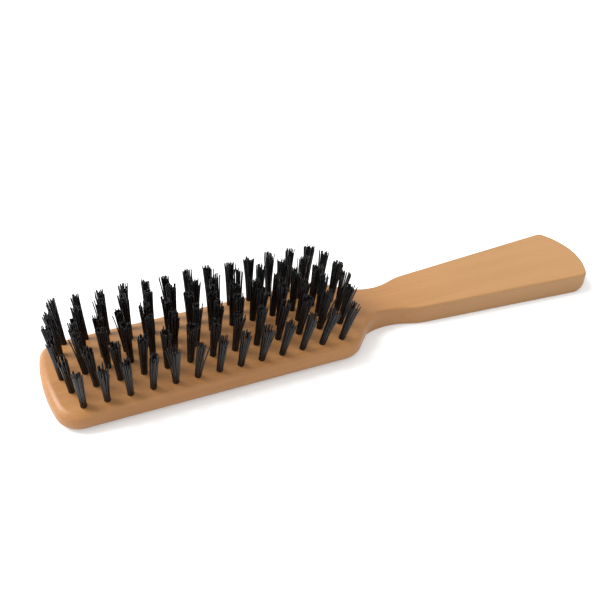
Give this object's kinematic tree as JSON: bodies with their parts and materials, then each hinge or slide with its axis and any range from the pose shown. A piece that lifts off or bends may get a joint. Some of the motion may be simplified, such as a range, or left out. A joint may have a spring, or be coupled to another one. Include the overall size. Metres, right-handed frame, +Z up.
{
  "type": "wooden body brush",
  "caption": "Flat wooden body brush with a crowned oblong head, six rows of black nylon tufts, a waisted neck and a flat handle that widens to a rounded end.",
  "frame": {"origin": "on the flat underside, below the middle of the brush's length", "axes": "+X along the brush from the head's free end to the end of the handle, +Y across it, +Z up along the tufts"},
  "size_m": [0.2408, 0.0488, 0.0302],
  "materials": {
    "wood": "satin lacquered beech",
    "nylon": "black nylon filament",
    "anchor_metal": "bright flat strip"
  },
  "bodies": {
    "root": {"brush_body": "wood", "tufts_row_1_toe": "nylon", "tufts_row_1_middle": "nylon", "tufts_row_1_heel": "nylon", "tufts_row_2_toe": "nylon", "tufts_row_2_middle": "nylon", "tufts_row_2_heel": "nylon", "tufts_row_3_toe": "nylon", "tufts_row_3_middle": "nylon", "tufts_row_3_heel": "nylon", "tufts_row_4_toe": "nylon", "tufts_row_4_middle": "nylon", "tufts_row_4_heel": "nylon", "tufts_row_5_toe": "nylon", "tufts_row_5_middle": "nylon", "tufts_row_5_heel": "nylon", "tufts_row_6_toe": "nylon", "tufts_row_6_middle": "nylon", "tufts_row_6_heel": "nylon", "anchors_row_1_toe": "anchor_metal", "anchors_row_1_middle": "anchor_metal", "anchors_row_1_heel": "anchor_metal", "anchors_row_2_toe": "anchor_metal", "anchors_row_2_middle": "anchor_metal", "anchors_row_2_heel": "anchor_metal", "anchors_row_3_toe": "anchor_metal", "anchors_row_3_middle": "anchor_metal", "anchors_row_3_heel": "anchor_metal", "anchors_row_4_toe": "anchor_metal", "anchors_row_4_middle": "anchor_metal", "anchors_row_4_heel": "anchor_metal", "anchors_row_5_toe": "anchor_metal", "anchors_row_5_middle": "anchor_metal", "anchors_row_5_heel": "anchor_metal", "anchors_row_6_toe": "anchor_metal", "anchors_row_6_middle": "anchor_metal", "anchors_row_6_heel": "anchor_metal"}
  },
  "joints": []
}
